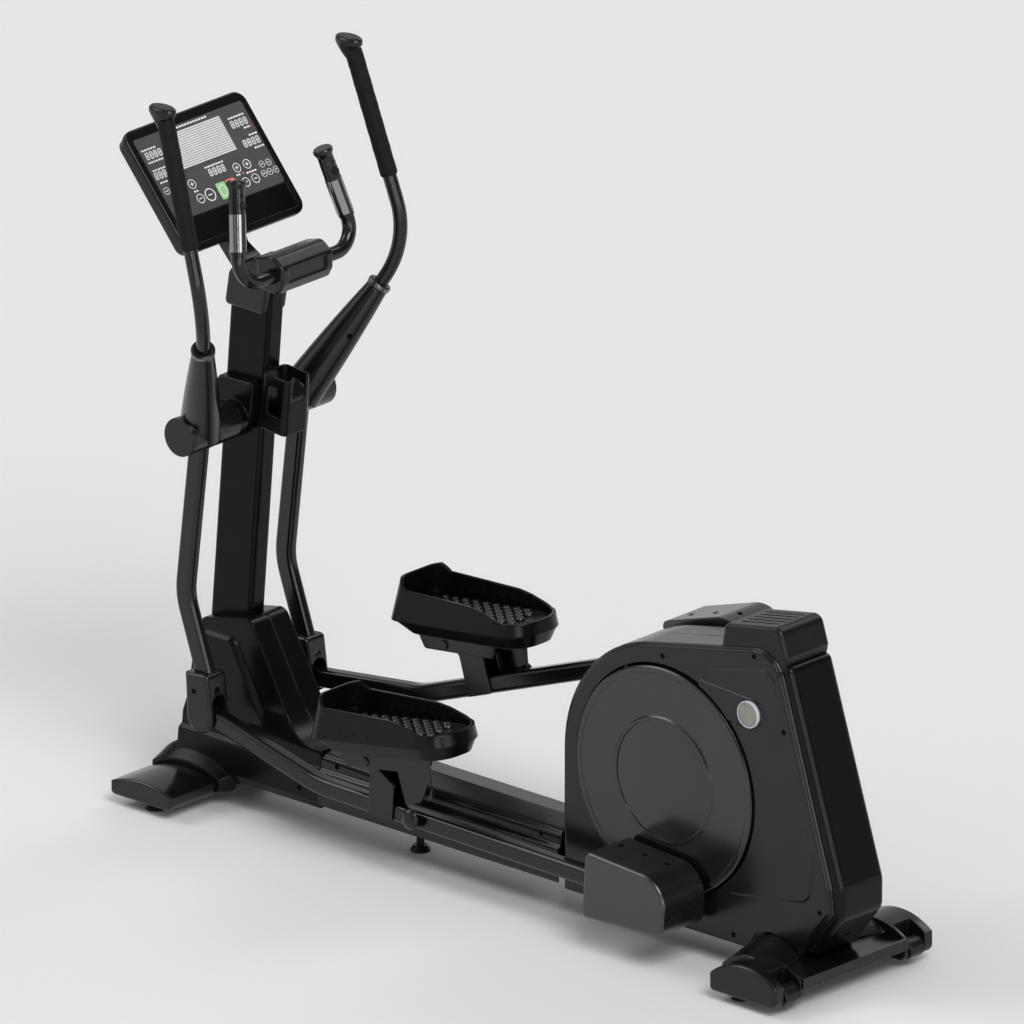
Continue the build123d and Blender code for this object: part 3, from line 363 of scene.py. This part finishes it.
def display_film():
    # Unlit display segments behind film: light grey
    return finish("display_film", "#cfd0d0", "#e0e1e1", 1.5, (0.3, 0.4), 0.01, shader={"IOR": 1.5})


def green_film():
    # Translucent green key film: pale green with a soft sheen
    return finish("green_film", "#93c687", colours().start_key, 1.2, (0.32, 0.4), 0.01, shader={"IOR": 1.5})


def red_film():
    # Translucent red key film: pale red with a soft sheen
    return finish("red_film", "#e07771", colours().stop_key, 1.2, (0.32, 0.4), 0.01, shader={"IOR": 1.5})


# Meshes
def piece(name, mesh, material, body):
    """Link a finished mesh as a piece that rides on a body."""
    item = bpy.data.objects.new(name, mesh)
    bpy.context.collection.objects.link(item)
    item.data.materials.clear()
    item.data.materials.append(material)
    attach(item, body)
    return item


def shape_from(bm, name):
    """Turn a bmesh into a clean mesh with outward faces."""
    bmesh.ops.remove_doubles(bm, verts=bm.verts, dist=1e-6)
    bmesh.ops.delete(bm, geom=[edge for edge in bm.edges if not edge.link_faces], context="EDGES")
    bmesh.ops.recalc_face_normals(bm, faces=bm.faces)
    mesh = bpy.data.meshes.new(name)
    bm.to_mesh(mesh)
    bm.free()
    return mesh


def lathe(profile, place, segments):
    """Closed turned form: (radius, height) points about the place's Z axis."""
    bm = bmesh.new()
    rings = []
    for radius, height in profile:
        ring = []
        for step in range(segments):
            turn = 2 * math.pi * step / segments
            spot = Vector((radius * math.cos(turn), radius * math.sin(turn), height))
            ring.append(bm.verts.new(place @ spot))
        rings.append(ring)
    for low, high in zip(rings, rings[1:] + rings[:1]):
        for step in range(segments):
            after = (step + 1) % segments
            face = bm.faces.new((low[step], low[after], high[after], high[step]))
            face.smooth = True
    return bm


def along(start, direction):
    """Matrix whose Z axis points in a direction."""
    return Matrix.Translation(start) @ Vector(direction).to_track_quat("Z", "Y").to_matrix().to_4x4()


def mirrored(point, side):
    """A right-side point on the given side."""
    return Vector((point[0], side * point[1], point[2]))


def prism(corners, depth, bevel=0.0):
    """Thin plate from a flat outline, front face at depth."""
    bm = bmesh.new()
    base = [bm.verts.new((x, y, 0.0)) for x, y in corners]
    face = bm.faces.new(base)
    top = bmesh.ops.extrude_face_region(bm, geom=[face])
    raised = [item for item in top["geom"] if isinstance(item, bmesh.types.BMVert)]
    bmesh.ops.translate(bm, vec=(0, 0, depth), verts=raised)
    if bevel:
        edges = [e for e in bm.edges if all(v.co.z > depth / 2 for v in e.verts)]
        bmesh.ops.bevel(bm, geom=edges, offset=bevel, segments=2, affect="EDGES", profile=0.5)
    return shape_from(bm, "plate")


def ring_plate(outer, inner, depth, sides=28):
    """Flat ring."""
    profile = [(inner, 0.0), (outer, 0.0), (outer, depth), (inner, depth)]
    bm = lathe(profile, Matrix.Identity(4), sides)
    for face in bm.faces:
        face.smooth = False
    return shape_from(bm, "ring")


# Geometry Nodes: copies of one shape on marked points
def copies_tree():
    """Node tree that puts a shape on every point, turned and stretched by the point's own values."""
    if "placed_copies" in bpy.data.node_groups:
        return bpy.data.node_groups["placed_copies"]
    tree = bpy.data.node_groups.new("placed_copies", "GeometryNodeTree")
    sockets = (("Points", "Geometry", "INPUT"), ("Shape", "Object", "INPUT"), ("Size", "Float", "INPUT"),
               ("Finish", "Material", "INPUT"), ("Copies", "Geometry", "OUTPUT"))
    for name, kind, way in sockets:
        tree.interface.new_socket(name=name, in_out=way, socket_type="NodeSocket" + kind)
    source = add(tree, "NodeGroupInput")
    shape = add(tree, "GeometryNodeObjectInfo", links={"Object": source.outputs["Shape"]})
    vector = {"data_type": "FLOAT_VECTOR"}
    turn = add(tree, "GeometryNodeInputNamedAttribute", vector, {"Name": "turn"})
    stretch = add(tree, "GeometryNodeInputNamedAttribute", vector, {"Name": "stretch"})
    rotation = add(tree, "FunctionNodeEulerToRotation", links={"Euler": turn.outputs["Attribute"]})
    scaled = add(tree, "ShaderNodeVectorMath", {"operation": "SCALE"},
                 links={0: stretch.outputs["Attribute"], "Scale": source.outputs["Size"]})
    placed = add(tree, "GeometryNodeInstanceOnPoints",
                 links={"Points": source.outputs["Points"], "Instance": shape.outputs["Geometry"],
                        "Rotation": rotation.outputs["Rotation"], "Scale": scaled.outputs["Vector"]})
    real = add(tree, "GeometryNodeRealizeInstances", links={"Geometry": placed.outputs["Instances"]})
    coated = add(tree, "GeometryNodeSetMaterial",
                 links={"Geometry": real.outputs["Geometry"], "Material": source.outputs["Finish"]})
    add(tree, "NodeGroupOutput", links={"Copies": coated.outputs["Geometry"]})
    return tree


def copies(name, shape, places, material, body, size=1.0):
    """One piece made of copies of a shape; each place is a matrix with a stretch."""
    template = bpy.data.objects.new(name + "_shape", shape)
    bpy.context.collection.objects.link(template)
    mesh = bpy.data.meshes.new(name + "_points")
    mesh.from_pydata([tuple(matrix.translation) for matrix, stretch in places], [], [])
    turn = mesh.attributes.new("turn", "FLOAT_VECTOR", "POINT")
    wide = mesh.attributes.new("stretch", "FLOAT_VECTOR", "POINT")
    for index, (matrix, stretch) in enumerate(places):
        turn.data[index].vector = matrix.to_euler("XYZ")
        wide.data[index].vector = stretch
    carrier = bpy.data.objects.new(name + "_points", mesh)
    bpy.context.collection.objects.link(carrier)
    tree = copies_tree()
    modifier = carrier.modifiers.new("copies", "NODES")
    modifier.node_group = tree
    keys = {item.name: item.identifier for item in tree.interface.items_tree}
    modifier[keys["Shape"]] = template
    modifier[keys["Size"]] = float(size)
    modifier[keys["Finish"]] = material
    carrier.update_tag()
    bpy.context.view_layer.update()
    depsgraph = bpy.context.evaluated_depsgraph_get()
    baked = bpy.data.meshes.new_from_object(carrier.evaluated_get(depsgraph))
    baked.name = name
    for attribute in ("turn", "stretch"):
        if attribute in baked.attributes:
            baked.attributes.remove(baked.attributes[attribute])
    bpy.data.objects.remove(carrier)
    bpy.data.objects.remove(template)
    if not baked.polygons:
        raise RuntimeError(f"{name} came out empty")
    return piece(name, baked, material, body)


# Places on the CAD surfaces
def surface(node, start, direction):
    """Point and normal where a line first meets a CAD node."""
    mesh = frame["nodes"][node].data
    corners = [vertex.co.copy() for vertex in mesh.vertices]
    tree = BVHTree.FromPolygons(corners, [polygon.vertices[:] for polygon in mesh.polygons])
    spot, normal = tree.ray_cast(Vector(start), Vector(direction).normalized())[:2]
    if spot is None:
        raise RuntimeError(f"no surface of {node} in that direction")
    if normal.dot(Vector(direction)) > 0:
        normal = -normal
    return spot, normal


def on_side(node, side, x, z):
    """Place on the outer side of a node, seen along Y."""
    return surface(node, (x, side * OUTSIDE, z), (0, -side, 0))


def on_face(x_mm, y_mm, lift_mm=-0.62, turn=0.0):
    """Matrix on the console face: x to the rider's right, y up the face."""
    spot = FACE_CENTRE + Vector((0, 1, 0)) * (x_mm / 1000) + FACE_UP * (y_mm / 1000)
    spot = spot + FACE_OUT * (lift_mm / 1000)
    basis = Matrix(((0, FACE_UP.x, FACE_OUT.x), (1, 0, 0), (0, FACE_UP.z, FACE_OUT.z))).to_4x4()
    return Matrix.Translation(spot) @ basis @ Matrix.Rotation(math.radians(turn), 4, "Z")


def printed(name, shape, places, material):
    """Print on the console panel, made of copies of one flat shape."""
    item = copies(name, shape.copy(), places, material, "frame")


# Stage parts
def lay_floor(scene):
    """Pale floor with a faint drift of tone."""
    bm = bmesh.new()
    bmesh.ops.create_grid(bm, x_segments=1, y_segments=1, size=60.0)
    floor = bpy.data.objects.new("floor", shape_from(bm, "floor"))
    scene.collection.objects.link(floor)
    for polygon in floor.data.polygons:
        polygon.flip()
    material = empty_material("studio_floor")
    tree = material.node_tree
    place = add(tree, "ShaderNodeTexCoord").outputs["Object"]
    drift = add(tree, "ShaderNodeTexNoise", values={"Scale": 1.5}, links={"Vector": place})
    tint = add(tree, "ShaderNodeMix", {"data_type": "RGBA"}, links={"Factor": drift.outputs["Fac"]})
    tint.inputs["A"].default_value = linear("#e0e0df")
    tint.inputs["B"].default_value = linear(colours().floor)
    skin = add(tree, "ShaderNodeBsdfPrincipled", values={"Roughness": 0.9, "Specular IOR Level": 0.1},
               links={"Base Color": tint.outputs["Result"]})
    add(tree, "ShaderNodeOutputMaterial", links={"Surface": skin.outputs["BSDF"]})
    floor.data.materials.append(material)


def light_world(scene):
    """World of soft boxes over a pale horizon."""
    world = bpy.data.worlds.new("studio")
    scene.world = world
    world.use_nodes = True
    tree = world.node_tree
    tree.nodes.clear()
    place = add(tree, "ShaderNodeTexCoord").outputs["Generated"]
    smooth = {"interpolation_type": "SMOOTHSTEP"}
    level = None
    for toward, inner, outer, bright in SOFT_BOXES:
        facing = add(tree, "ShaderNodeVectorMath", {"operation": "DOT_PRODUCT"},
                     {1: Vector(toward).normalized()}, {0: place})
        fade = {"From Min": math.cos(math.radians(outer)), "From Max": math.cos(math.radians(inner)),
                "To Max": bright}
        box = add(tree, "ShaderNodeMapRange", smooth, fade, {"Value": facing.outputs["Value"]})
        total = add(tree, "ShaderNodeMath", {"operation": "ADD"}, {1: AMBIENT}, {0: box.outputs["Result"]})
        if level:
            tree.links.new(level.outputs["Value"], total.inputs[1])
        level = total
    height = add(tree, "ShaderNodeSeparateXYZ", links={"Vector": place})
    rise = add(tree, "ShaderNodeMapRange", smooth, {"From Min": 0.01, "From Max": 0.12},
               {"Value": height.outputs["Z"]})
    glow = add(tree, "ShaderNodeMix", {"data_type": "FLOAT"}, {"A": HORIZON},
               {"Factor": rise.outputs["Result"], "B": level.outputs["Value"]})
    light = add(tree, "ShaderNodeBackground", values={"Color": linear("#fbfcfd")},
                links={"Strength": glow.outputs["Result"]})
    add(tree, "ShaderNodeOutputWorld", links={"Surface": light.outputs["Background"]})


def hang_lamps(scene):
    """Broad key lamp high behind the camera and a weak lamp below it."""
    for name, toward, spread, power in LAMPS:
        lamp = bpy.data.lights.new(name, "SUN")
        lamp.angle = math.radians(spread)
        lamp.energy = power
        item = bpy.data.objects.new(name, lamp)
        item.matrix_world = along(VIEW_CENTRE + Vector(toward) * LAMP_DISTANCE, toward)
        scene.collection.objects.link(item)


def place_camera(scene):
    """Parallel view from the rear left corner."""
    camera = bpy.data.cameras.new("camera")
    camera.type = "ORTHO"
    camera.ortho_scale = VIEW_WIDTH
    camera.clip_end = 60.0
    item = bpy.data.objects.new("camera", camera)
    up = VIEW_BACK.cross(VIEW_RIGHT).normalized()
    turn = Matrix((VIEW_RIGHT, up, VIEW_BACK)).transposed().to_4x4()
    item.matrix_world = Matrix.Translation(VIEW_CENTRE + VIEW_BACK * VIEW_DISTANCE) @ turn
    scene.collection.objects.link(item)
    scene.camera = item


# Operators
class TRAINER_OT_finishes(bpy.types.Operator):
    """Give every CAD node its finish"""

    bl_idname = "trainer.finishes"
    bl_label = "Dress frame"

    def execute(self, context):
        by_slot = {
            "painted_steel": powder_coat, "black_plastic": moulded_abs, "rubber": soft_rubber,
            "bright_steel": turned_steel, "gloss_plastic": gloss_abs, "membrane": printed_panel,
            "lens": frosted_lens, "pulley_metal": turned_steel, "disc_plastic": disc_abs,
            "cast_iron": cast_iron, "foam": closed_cell_foam, "button": soft_rubber,
        }
        by_name = {
            "pulse_plates": brushed_steel, "base_cover": cover_abs, "pivot_covers": cover_abs,
            "bottle_holder": cover_abs, "console_back": cover_abs, "housing_rear_panel": cover_abs,
            "pedal_shell": cover_abs, "crank_cover": crank_abs, "mast": mast_coat,
            "handlebar_grips": dipped_vinyl,
        }
        slots = {part["node"]: part["material_slot"] for part in frame["record"]["subparts"]}
        for node, item in frame["nodes"].items():
            name = node.removesuffix("_left").removesuffix("_right")
            material = by_name.get(name, by_slot[slots[node]])()
            item.data.materials.clear()
            item.data.materials.append(material)
        return {"FINISHED"}


class TRAINER_OT_foam(bpy.types.Operator):
    """Foam sleeves on the swinging handles"""

    bl_idname = "trainer.foam"
    bl_label = "Handle foam"

    def execute(self, context):
        radius = sizes().foam_radius
        for side, word in SIDES:
            bend = mirrored(HANDLE_BEND, side)
            top = mirrored(HANDLE_TOP, side)
            axis = (top - bend).normalized()
            low = bend + axis * ((FOAM_FOOT_Z - bend.z) / axis.z)
            length = (top - low).length - END_CAP_ROOM
            profile = [(FOAM_BORE, 0.0005), (radius - 0.0022, 0.0), (radius - 0.0006, 0.0018)]
            for step in range(FOAM_STEPS + 1):
                along_foam = 0.005 + (length - 0.010) * step / FOAM_STEPS
                swell = 0.00025 * math.sin(step * 0.9) + 0.0002 * math.sin(step * 2.3 + side)
                profile.append((radius + swell, along_foam))
            profile += [(radius - 0.0008, length - 0.0016), (radius - 0.0024, length),
                        (FOAM_BORE, length - 0.0003)]
            mesh = shape_from(lathe(profile, along(low, axis), 64), f"foam_{word}")
            sleeve = piece(f"foam_sleeve_{word}", mesh, closed_cell_foam(), f"swing_{word}")
            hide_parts(f"foam_grip_{word}")
        return {"FINISHED"}


class TRAINER_OT_screws(bpy.types.Operator):
    """Cover screws"""

    bl_idname = "trainer.screws"
    bl_label = "Cover screws"

    def execute(self, context):
        spots = {"frame": [], "swing_left": [], "swing_right": [], "link_left": [], "link_right": []}
        for side, word in SIDES:
            for node, found in ((f"housing_{word}", HOUSING_SCREWS), (f"base_cover_{word}", BASE_SCREWS),
                                ("beam_cover", BEAM_SCREWS)):
                spots["frame"] += [on_side(node, side, x, z) for x, z in found]
            spots[f"swing_{word}"] += [
                on_side(f"joint_cover_{word}", side, *JOINT_SCREW),
                surface(f"arm_shroud_{word}", mirrored(SHROUD_SCREW, side), (-1, 0, 0))]
            low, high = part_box(f"crank_cover_{word}")
            for share in CRANK_SCREWS:
                start = (low[0] + share * (high[0] - low[0]), side * 0.15, high[2] + 0.2)
                spots[f"link_{word}"].append(surface(f"crank_cover_{word}", start, (0, 0, -1)))
        spots["frame"].append(surface("housing_rear_panel", REAR_SCREW, (-1, 0, 0)))
        head = shape_from(lathe(SCREW_PROFILE, Matrix.Identity(4), 20), "screw_head")
        radius = sizes().screw_radius
        for body, found in spots.items():
            places = [(along(spot, normal), NO_STRETCH) for spot, normal in found]
            # The screw heads carry painted shade: dead black standing in for the shaded screw holes
            item = copies(f"cover_screws_{body}", head.copy(), places, black_oxide_and_hole_shade(), body, radius)
        return {"FINISHED"}


class TRAINER_OT_treads(bpy.types.Operator):
    """Rubber mats with rope-like ribs on both pedals"""

    bl_idname = "trainer.treads"
    bl_label = "Pedal treads"

    def execute(self, context):
        outline = []
        for x, y, radius, first in MAT_CORNERS:
            for step in range(13):
                turn = math.radians(first + 7.5 * step)
                outline.append((x + radius * math.cos(turn), y + radius * math.sin(turn)))
        block = shape_from(lathe(RIB_PROFILE, Matrix.Identity(4), 20), "rib_block")
        turned = Matrix.Rotation(math.radians(RIB_TURN), 4, "Z")
        for _, word in SIDES:
            joint = next(j for j in frame["joints"] if j["name"] == f"pedal_tilt_{word}")
            tilt = Matrix.Rotation(-math.radians(PEDAL_TILT[word]), 4, "Y")
            place = Matrix.Translation(joint["pos_m"]) @ tilt @ Matrix.Translation((0, 0, TREAD_LIFT))
            mat = prism(outline, MAT_DEPTH, MAT_BEVEL)
            mat.transform(place)
            base = piece(f"tread_mat_{word}", mat, tread_rubber(), f"pedal_{word}")
            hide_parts(f"pedal_tread_{word}")
            ribs = []
            for row in range(-4, 8):
                for step in range(7):
                    x, y = FIRST_X + ROW_PITCH * row + STEP_X * step, FIRST_Y - STEP_Y * step
                    reach = math.hypot(max(x - RIB_CORNER[0], 0.0), max(abs(y) - RIB_CORNER[1], 0.0))
                    if RIB_RANGE[0] < x < RIB_RANGE[1] and reach < RIB_CORNER[2]:
                        spot = place @ Matrix.Translation((x, y, MAT_DEPTH)) @ turned
                        ribs.append((spot, (RIB_LENGTH, RIB_WIDTH, sizes().rib_height)))
            item = copies(f"tread_ribs_{word}", block.copy(), ribs, tread_rubber(), f"pedal_{word}")
        return {"FINISHED"}


class TRAINER_OT_marks(bpy.types.Operator):
    """Tick marks on the pedal walls, bands at the handle collars and lens caps"""

    bl_idname = "trainer.marks"
    bl_label = "Marks, bands and lenses"

    def execute(self, context):
        tick = prism([(-0.0006, -0.006), (0.0006, -0.006), (0.0006, 0.006), (-0.0006, 0.006)], 0.0004)
        for side, word in SIDES:
            low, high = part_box(f"pedal_shell_{word}")
            places = []
            for share in MARK_SHARES:
                x = low[0] + share * (high[0] - low[0])
                z = low[2] + MARK_HEIGHT * (high[2] - low[2]) + MARK_SLOPE * (share - MARK_SHARES[1])
                spot, normal = on_side(f"pedal_shell_{word}", side, x, z)
                side_axis = Vector((0, 0, 1)).cross(normal).normalized()
                basis = Matrix((side_axis, normal.cross(side_axis), normal)).transposed().to_4x4()
                places.append((Matrix.Translation(spot) @ basis, NO_STRETCH))
            # The tick marks take the same dead black, the painted shade of the screw holes
            marks = copies(f"tilt_marks_{word}", tick.copy(), places, black_oxide_and_hole_shade(), f"pedal_{word}")
            pivot = mirrored(ARM_PIVOT, side)
            rise = (mirrored(HANDLE_BEND, side) - pivot).normalized()
            collar = along(pivot + rise * COLLAR_REACH, rise)
            outwards = along(mirrored(LENS_CENTRE, side), (0, side, 0))
            for name, profile, place, material, body, slot in (
                    ("collar_band", BAND_PROFILE, collar, smoked_chrome(), f"swing_{word}", "bright_steel"),
                    # the lens rim's pale colour is a painted highlight on its wall
                    ("lens_rim", RIM_PROFILE, outwards, lens_edge_painted_highlight(), "frame", "lens"),
                    ("lens_front", FRONT_PROFILE, outwards, frosted_lens(), "frame", "lens")):
                item = piece(f"{name}_{word}", shape_from(lathe(profile, place, 56), name), material, body)
        return {"FINISHED"}


class TRAINER_OT_console(bpy.types.Operator):
    """Printed displays and keys on the console panel"""

    bl_idname = "trainer.console"
    bl_label = "Console print"

    def execute(self, context):
        bar = prism([(-0.5, -0.5), (0.5, -0.5), (0.5, 0.5), (-0.5, 0.5)], INK_DEPTH)
        rows = sizes().stripe_rows
        pitch = STRIPE_SPAN / (rows - 1)
        stripes = [(on_face(0.5, STRIPE_FOOT + pitch * row), STRIPE_SIZE) for row in range(rows)]
        printed("matrix_display", bar, stripes, display_film())

        strokes = []
        for x, y in NUMBER_PLACES:
            for digit in range(4):
                left = x + DIGIT_PITCH * (digit - 1.5)
                for dx, dy, turn in DIGIT_SEGMENTS:
                    spot = on_face(left + dx + dy * DIGIT_SLANT, y + dy, turn=turn)
                    strokes.append((spot, STROKE_SIZE))
        printed("number_displays", bar, strokes, display_film())

        # Captions are rows of short pale bars
        captions = []
        for x, y, width in CAPTIONS:
            count = max(2, round(width / CAPTION_PITCH))
            step = width / count
            for part in range(count):
                spot = on_face(x - width / 2 + step * (part + 0.5), y)
                captions.append((spot, (step * CAPTION_FILL / 1000, CAPTION_HEIGHT, 1.0)))
        printed("caption_bars", bar, captions, white_ink())

        rings = [(on_face(x, y), (radius / 1000, radius / 1000, 1.0)) for x, y, radius in KEYS]
        printed("key_rings", ring_plate(1.0, RING_BORE, INK_DEPTH), rings, white_ink())
        signs = []
        for x, y, radius in KEYS:
            plus = 10 < radius < 13 and y > -20
            for turn in (0, 90) if plus else (0,):
                signs.append((on_face(x, y, turn=turn), (radius * SIGN_SHARE / 1000, SIGN_HEIGHT, 1.0)))
        printed("key_signs", bar, signs, white_ink())

        block = prism([(-0.5, -0.42), (-0.42, -0.5), (0.42, -0.5), (0.5, -0.42), (0.5, 0.42), (0.42, 0.5),
                       (-0.42, 0.5), (-0.5, 0.42)], INK_DEPTH)
        printed("start_key", block, [(on_face(START_X, START_Y), START_SIZE)], green_film())
        printed("stop_key", block, [(on_face(STOP_X, START_Y), START_SIZE)], red_film())
        loops = [(on_face(x, START_Y, -0.40), LOOP_SIZE) for x in (START_X, STOP_X)]
        printed("start_stop_rings", ring_plate(1.0, LOOP_BORE, INK_DEPTH), loops, white_ink())
        dots = [(on_face(x, y), DOT_SIZE) for x, y in HEART_DOTS]
        printed("heart_dots", block, dots, red_film())
        return {"FINISHED"}


class TRAINER_OT_stage(bpy.types.Operator):
    """Pale floor, soft studio light and the camera"""

    bl_idname = "trainer.stage"
    bl_label = "Stage"

    def execute(self, context):
        scene = context.scene
        scene.view_settings.view_transform = "Standard"
        lay_floor(scene)
        light_world(scene)
        hang_lamps(scene)
        place_camera(scene)
        return {"FINISHED"}


class TRAINER_PT_panel(bpy.types.Panel):
    """Sizes, colours and steps of the trainer"""

    bl_idname = "TRAINER_PT_panel"
    bl_label = "Elliptical trainer"
    bl_space_type = "VIEW_3D"
    bl_region_type = "UI"
    bl_category = "Trainer"

    def draw(self, context):
        for group in (context.scene.trainer_sizes, context.scene.trainer_colours):
            for key in group.__annotations__:
                self.layout.prop(group, key)
        for step in STEPS:
            self.layout.operator(step.bl_idname)


STEPS = (TRAINER_OT_finishes, TRAINER_OT_foam, TRAINER_OT_screws, TRAINER_OT_treads, TRAINER_OT_marks,
         TRAINER_OT_console, TRAINER_OT_stage)
CLASSES = (TrainerSizes, TrainerColours) + STEPS + (TRAINER_PT_panel,)


def register():
    for item in CLASSES:
        bpy.utils.register_class(item)
    bpy.types.Scene.trainer_sizes = bpy.props.PointerProperty(type=TrainerSizes)
    bpy.types.Scene.trainer_colours = bpy.props.PointerProperty(type=TrainerColours)


def unregister():
    del bpy.types.Scene.trainer_colours
    del bpy.types.Scene.trainer_sizes
    for item in reversed(CLASSES):
        bpy.utils.unregister_class(item)


def main():
    register()
    bpy.ops.trainer.finishes()
    bpy.ops.trainer.foam()
    bpy.ops.trainer.screws()
    bpy.ops.trainer.treads()
    bpy.ops.trainer.marks()
    bpy.ops.trainer.console()
    bpy.ops.trainer.stage()


if __name__ == "__main__":
    main()
